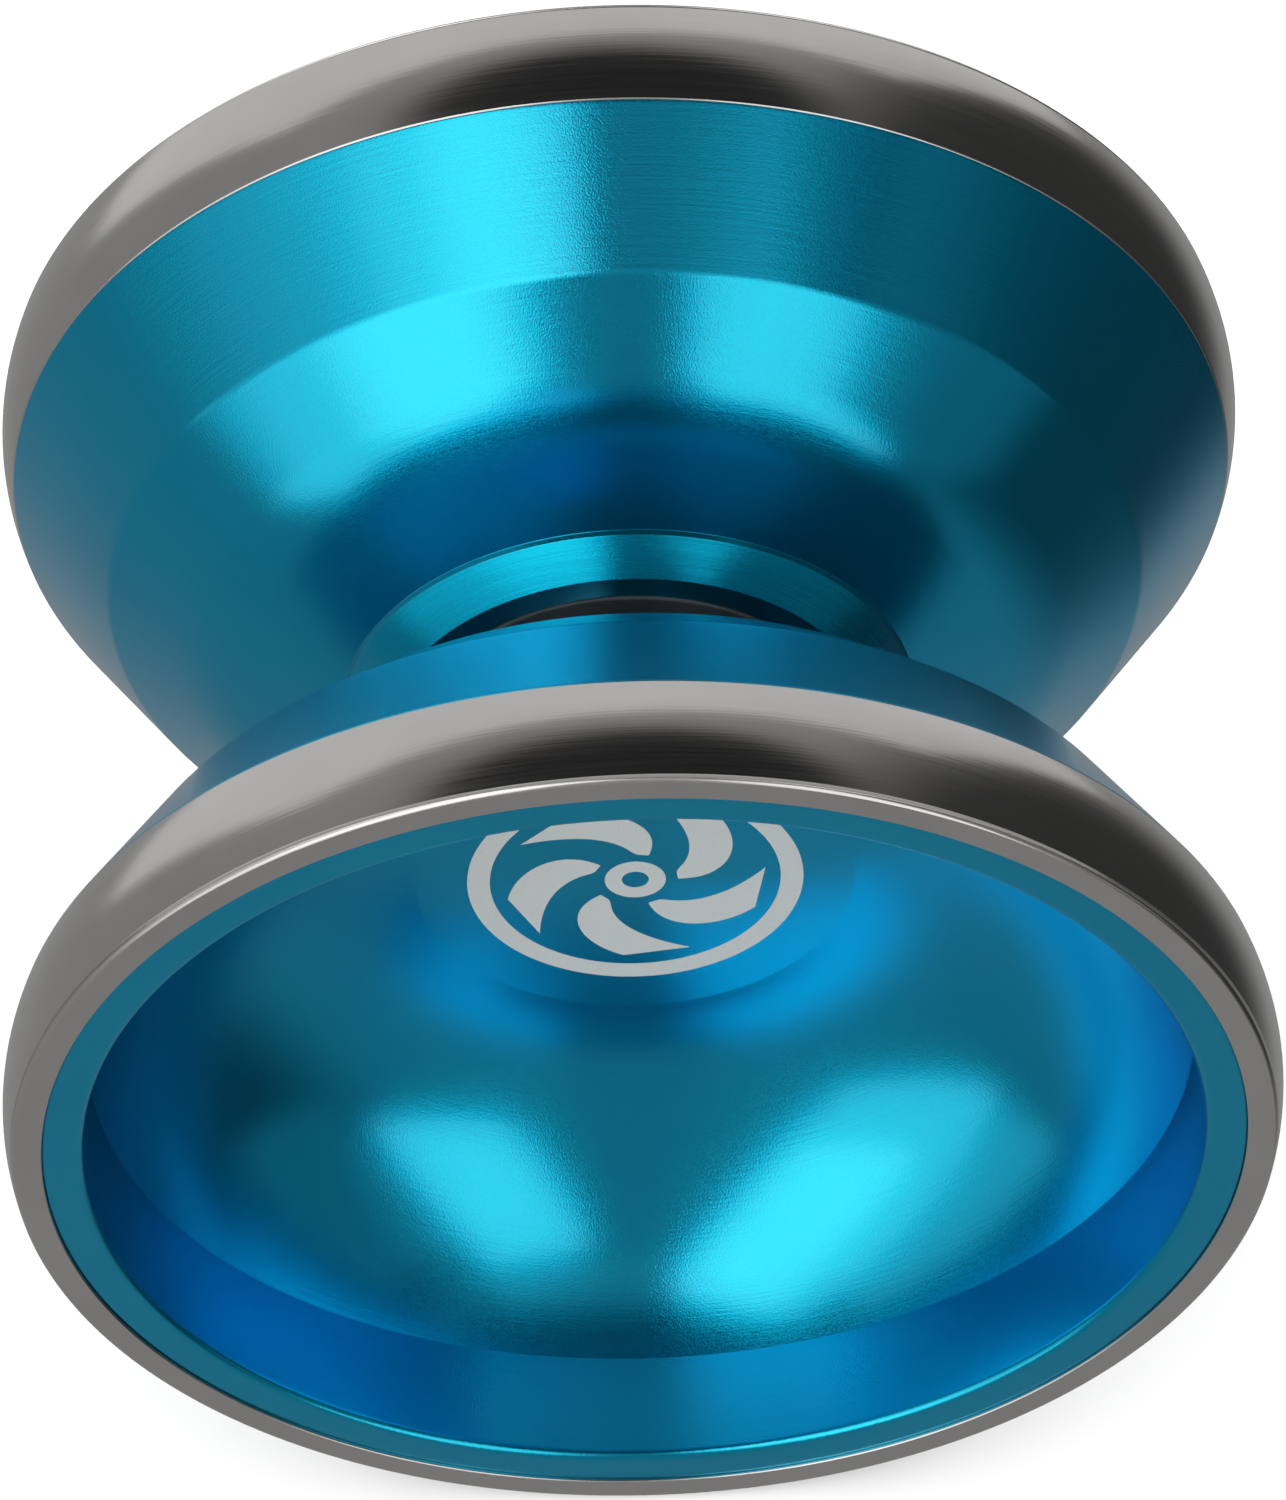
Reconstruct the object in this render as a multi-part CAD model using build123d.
from build123d import *
import os
from math import cos, radians, sin

# A two-material throwing yo-yo: two turned aluminium halves, each with a steel ring round its rim,
# screwed together on one axle through a shielded ball bearing. No string is fitted.
#
# Frame: the spin axis is Y, through the origin, which is the middle of the bearing. The front half
# is on the -Y side and the back half on the +Y side. The yo-yo lies on its two rims, so +Z is up.
# Every outline below is drawn for the back half as (radius, height), where the height is the
# distance from the middle plane along the spin axis. The front half is its mirror image.
# All sizes are in millimetres and degrees.

# Overall size
HALF_WIDTH = 21.1              # middle plane to the steel crest, so the yo-yo is 42.2 wide
RIM_BULGE_RADIUS = 28.0        # largest radius, so the yo-yo is 56 across
RIM_BULGE_HEIGHT = 18.45       # where the steel ring is widest

# Steel ring
RING_START = (27.5, 15.75)     # where steel meets aluminium on the string side
RING_END = (27.58, 21.1)       # outer corner of the crest
RING_SEAT_RADIUS = 26.3        # bore of the ring and the step it is pressed on
RING_CORNER = 0.3              # rounding of the crest's outer corner
SEAM_CHAMFER = 0.12            # chamfer on each side of the seam in the face
FACE_HEIGHT = 20.94            # aluminium face, a little below the steel crest

# String side of the aluminium half, from the hub outwards
HUB_HEIGHT = 2.2               # flat land round the bearing and the pad
BOSS_TOP_RADIUS = 10.7         # inner edge of the boss's bevel
BOSS_EDGE = (12.73, 3.1)       # sharp outer edge of the boss
FLANK_FOOT = (12.8, 3.35)      # a small step behind the boss's edge, where the inner flank starts
FLANK_BREAK = (18.5, 5.35)     # where the inner flank turns from shallow to steep
FLANK_BREAK_ROUNDING = 10.0
KINK = (23.25, 9.45)           # ridge between the inner flank and the rim's flank
KINK_ROUNDING = 1.2

# Cup side
MOUTH_RADIUS = 24.47
MOUTH_ROUNDING = 0.35
WALL_FOOT = (24.28, 15.76)     # foot of the cup's steep wall, where the bowl starts
FLOOR_EDGE = (9.73, 6.39)      # edge of the flat disc in the middle of the cup
BOWL_DEPTH = 3.0               # how far the bowl's arc sags from its straight chord

# Bearing, size C: 6.35 bore, 12.7 outside, 4.76 wide
BEARING_HALF_WIDTH = 2.38
BEARING_BORE_RADIUS = 3.175
BEARING_OUTER_RADIUS = 6.35
BALL_RADIUS = 0.79375          # 1/16 inch balls
BALL_COUNT = 8
PITCH_RADIUS = 4.7625
RACEWAY_RADIUS = 0.8255        # 52 per cent of the ball's diameter
INNER_LAND_RADIUS = 4.25
OUTER_LAND_RADIUS = 5.2
RACE_CHAMFER = 0.2
SHIELD_SEAT_RADIUS = 5.6
SHIELD_RADII = (4.4, 5.57)
SHIELD_HEIGHTS = (1.71, 1.9)
SHIELD_SEAT_HEIGHT = 1.7
SNAP_GROOVE = (5.75, 1.92, 2.16)   # radius, then the heights of the groove's two sides
SNAP_RING_RADII = (5.3, 5.72)
SNAP_RING_HEIGHTS = (1.93, 2.15)
SNAP_RING_GAP_ANGLE = 22.0
CAGE_RADII = (4.42, 5.03)
CAGE_HEIGHTS = (-1.3, 0.45)
CAGE_POCKET_RADIUS = 0.85

# Seat for the bearing, the pad and the axle in each half
POST_CLEARANCE = 0.015         # between the post and the bearing's bore
POST_RADIUS = BEARING_BORE_RADIUS - POST_CLEARANCE
POST_TIP_HEIGHT = 0.1
POST_CHAMFER = 0.2
SHOULDER_RADIUS = 4.0
SHOULDER_GAP = 0.01            # between the shoulder and the inner race's end
SHOULDER_HEIGHT = BEARING_HALF_WIDTH + SHOULDER_GAP
POCKET_CLEARANCE = 0.2         # all round the outer race, which turns freely
POCKET_RADIUS = BEARING_OUTER_RADIUS + POCKET_CLEARANCE
POCKET_HEIGHT = 2.8
POCKET_CHAMFER = 0.12
GROOVE_RADII = (7.2, 9.45)
GROOVE_HEIGHT = 3.0
PAD_GAP = 0.03                 # glue line round the pad
PAD_FACE_HEIGHT = 2.1
PAD_ROUNDING = 0.15

# Axle: M4 x 0.7 set screw, 10 long
AXLE_RADIUS = 2.0
AXLE_HALF_LENGTH = 5.0
AXLE_CHAMFER = 0.4
AXLE_SOCKET_FLATS = 2.0
AXLE_SOCKET_DEPTH = 2.0
THREAD_CLEARANCE = 0.05
AXLE_HOLE_HEIGHT = 5.5


def turned(outline):
    """Spin a closed (radius, height) outline round the spin axis."""
    return revolve(make_face(outline), axis=Axis.Y)


def corner_rounded(face, corner, radius):
    """Round the corner of a flat outline that lies nearest to a (radius, height) point."""
    vertex = face.vertices().sort_by_distance(Vector(*corner))[0]
    return fillet(vertex, radius)


def arc_middle(start, end, sag):
    """The middle point of an arc that bends to the right of the chord from start to end."""
    chord = Vector(*end) - Vector(*start)
    middle = (Vector(*start) + Vector(*end)) / 2
    right = Vector(chord.Y, -chord.X).normalized()
    return middle + right * sag


def hub_outline():
    """Axle hole, post, bearing pocket and pad groove, from the centre out to the boss's edge."""
    hole_radius = AXLE_RADIUS + THREAD_CLEARANCE
    groove_inner, groove_outer = GROOVE_RADII
    return Polyline(
        (0, AXLE_HOLE_HEIGHT),
        (hole_radius, AXLE_HOLE_HEIGHT),
        (hole_radius, POST_TIP_HEIGHT + POST_CHAMFER),
        (hole_radius + POST_CHAMFER, POST_TIP_HEIGHT),
        (POST_RADIUS - POST_CHAMFER, POST_TIP_HEIGHT),
        (POST_RADIUS, POST_TIP_HEIGHT + POST_CHAMFER),
        (POST_RADIUS, SHOULDER_HEIGHT),
        (SHOULDER_RADIUS, SHOULDER_HEIGHT),
        (SHOULDER_RADIUS, POCKET_HEIGHT),
        (POCKET_RADIUS, POCKET_HEIGHT),
        (POCKET_RADIUS, HUB_HEIGHT + POCKET_CHAMFER),
        (POCKET_RADIUS + POCKET_CHAMFER, HUB_HEIGHT),
        (groove_inner, HUB_HEIGHT),
        (groove_inner, GROOVE_HEIGHT),
        (groove_outer, GROOVE_HEIGHT),
        (groove_outer, HUB_HEIGHT),
        (BOSS_TOP_RADIUS, HUB_HEIGHT),
        BOSS_EDGE,
    )


def string_side_outline():
    """Inner flank from the boss's edge to the kink, and the rim's flank to the seam."""
    return Polyline(BOSS_EDGE, FLANK_FOOT, FLANK_BREAK, KINK, RING_START)


def face_outline():
    """Step for the ring, then the flat face and the mouth of the cup."""
    return Polyline(
        RING_START,
        (RING_SEAT_RADIUS, RING_START[1]),
        (RING_SEAT_RADIUS, FACE_HEIGHT - SEAM_CHAMFER),
        (RING_SEAT_RADIUS - SEAM_CHAMFER, FACE_HEIGHT),
        (MOUTH_RADIUS, FACE_HEIGHT),
        WALL_FOOT,
    )


def cup_outline():
    """Bowl and flat floor disc, back to the spin axis."""
    bowl = ThreePointArc(WALL_FOOT, arc_middle(FLOOR_EDGE, WALL_FOOT, BOWL_DEPTH), FLOOR_EDGE)
    floor = Polyline(FLOOR_EDGE, (0, FLOOR_EDGE[1]), (0, AXLE_HOLE_HEIGHT))
    return bowl + floor


def half_body():
    """One turned aluminium half, in one piece from the bearing's post to the rim."""
    outline = hub_outline() + string_side_outline() + face_outline() + cup_outline()
    face = make_face(outline)
    face = corner_rounded(face, FLANK_BREAK, FLANK_BREAK_ROUNDING)
    face = corner_rounded(face, KINK, KINK_ROUNDING)
    face = corner_rounded(face, (MOUTH_RADIUS, FACE_HEIGHT), MOUTH_ROUNDING)
    return revolve(face, axis=Axis.Y)


def rim_ring():
    """Steel ring with a gently bulging outside and a flat crest."""
    bulge = ThreePointArc(RING_START, (RIM_BULGE_RADIUS, RIM_BULGE_HEIGHT), RING_END)
    inside = Polyline(
        RING_END,
        (RING_SEAT_RADIUS + SEAM_CHAMFER, HALF_WIDTH),
        (RING_SEAT_RADIUS, HALF_WIDTH - SEAM_CHAMFER),
        (RING_SEAT_RADIUS, RING_START[1]),
        RING_START,
    )
    face = corner_rounded(make_face(bulge + inside), RING_END, RING_CORNER)
    return revolve(face, axis=Axis.Y)


def response_pad():
    """Silicone ring in the hub's groove."""
    inner = GROOVE_RADII[0] + PAD_GAP
    outer = GROOVE_RADII[1] - PAD_GAP
    back = GROOVE_HEIGHT - PAD_GAP
    corners = [(inner, PAD_FACE_HEIGHT), (outer, PAD_FACE_HEIGHT), (outer, back), (inner, back)]
    face = make_face(Polyline(*corners, close=True))
    face = corner_rounded(face, (inner, PAD_FACE_HEIGHT), PAD_ROUNDING)
    face = corner_rounded(face, (outer, PAD_FACE_HEIGHT), PAD_ROUNDING)
    return revolve(face, axis=Axis.Y)


def raceway(land_radius, bottom_radius):
    """Groove that the balls run in, drawn from -Y to +Y on a land of the given radius."""
    offset = abs(PITCH_RADIUS - land_radius)
    half_mouth = (RACEWAY_RADIUS ** 2 - offset ** 2) ** 0.5
    return ThreePointArc((land_radius, -half_mouth), (bottom_radius, 0), (land_radius, half_mouth))


def inner_race():
    """Inner race, which the posts of both halves hold."""
    groove = raceway(INNER_LAND_RADIUS, PITCH_RADIUS - RACEWAY_RADIUS)
    top = BEARING_HALF_WIDTH
    rest = Polyline(
        groove @ 1,
        (INNER_LAND_RADIUS, top - RACE_CHAMFER),
        (INNER_LAND_RADIUS - RACE_CHAMFER, top),
        (BEARING_BORE_RADIUS + RACE_CHAMFER, top),
        (BEARING_BORE_RADIUS, top - RACE_CHAMFER),
        (BEARING_BORE_RADIUS, RACE_CHAMFER - top),
        (BEARING_BORE_RADIUS + RACE_CHAMFER, -top),
        (INNER_LAND_RADIUS - RACE_CHAMFER, -top),
        (INNER_LAND_RADIUS, RACE_CHAMFER - top),
        groove @ 0,
    )
    return turned(groove + rest)


def outer_race():
    """Outer race with a seat for a shield and a snap ring's groove at each end."""
    groove = raceway(OUTER_LAND_RADIUS, PITCH_RADIUS + RACEWAY_RADIUS)
    top = BEARING_HALF_WIDTH
    snap_radius, snap_low, snap_high = SNAP_GROOVE
    upper = [
        (OUTER_LAND_RADIUS, SHIELD_SEAT_HEIGHT),
        (SHIELD_SEAT_RADIUS, SHIELD_SEAT_HEIGHT),
        (SHIELD_SEAT_RADIUS, snap_low),
        (snap_radius, snap_low),
        (snap_radius, snap_high),
        (SHIELD_SEAT_RADIUS, snap_high),
        (SHIELD_SEAT_RADIUS, top),
        (BEARING_OUTER_RADIUS - RACE_CHAMFER, top),
        (BEARING_OUTER_RADIUS, top - RACE_CHAMFER),
    ]
    lower = [(radius, -height) for radius, height in reversed(upper)]
    return turned(groove + Polyline(groove @ 1, *upper, *lower, groove @ 0))


def ball_centre(number):
    angle = radians(360 / BALL_COUNT * number)
    return PITCH_RADIUS * cos(angle), 0, PITCH_RADIUS * sin(angle)


def bearing_ball(number):
    return Pos(*ball_centre(number)) * Sphere(BALL_RADIUS)


def ring_band(inner, outer, low, high, sweep=360):
    """Plain ring of rectangular section round the spin axis."""
    section = make_face(Polyline((inner, low), (outer, low), (outer, high), (inner, high), close=True))
    return revolve(section, axis=Axis.Y, revolution_arc=sweep)


def bearing_cage():
    """Crown cage: a ring with a round pocket for each ball, open on one side."""
    cage = ring_band(*CAGE_RADII, *CAGE_HEIGHTS)
    for number in range(BALL_COUNT):
        cage -= Pos(*ball_centre(number)) * Sphere(CAGE_POCKET_RADIUS)
    return cage


def bearing_shield():
    """Thin washer that covers the balls on one side."""
    return ring_band(*SHIELD_RADII, *SHIELD_HEIGHTS)


def bearing_snap_ring():
    """Open wire ring that holds the shield in the outer race."""
    return ring_band(*SNAP_RING_RADII, *SNAP_RING_HEIGHTS, sweep=360 - SNAP_RING_GAP_ANGLE)


def axle():
    """Set screw with a hexagon socket in its back end."""
    end = AXLE_HALF_LENGTH
    outline = Polyline(
        (0, -end),
        (AXLE_RADIUS - AXLE_CHAMFER, -end),
        (AXLE_RADIUS, AXLE_CHAMFER - end),
        (AXLE_RADIUS, end - AXLE_CHAMFER),
        (AXLE_RADIUS - AXLE_CHAMFER, end),
        (0, end),
        close=True,
    )
    socket_mouth = Plane(origin=(0, end, 0), z_dir=(0, -1, 0))
    hexagon = RegularPolygon(AXLE_SOCKET_FLATS / 2, 6, major_radius=False)
    return turned(outline) - extrude(socket_mouth * hexagon, AXLE_SOCKET_DEPTH)


def save(node, solid):
    solid.label = node
    export_step(solid, f"parts/{node}.step")


def main():
    os.makedirs("parts", exist_ok=True)
    paired = {
        "body": half_body(),
        "rim": rim_ring(),
        "response_pad": response_pad(),
        "bearing_shield": bearing_shield(),
        "bearing_snap_ring": bearing_snap_ring(),
    }
    for name, back in paired.items():
        save(f"{name}_back", back)
        save(f"{name}_front", back.mirror(Plane.XZ))
    save("axle", axle())
    save("bearing_inner_race", inner_race())
    save("bearing_outer_race", outer_race())
    save("bearing_cage", bearing_cage())
    for number in range(BALL_COUNT):
        save(f"bearing_ball_{number + 1}", bearing_ball(number))


main()
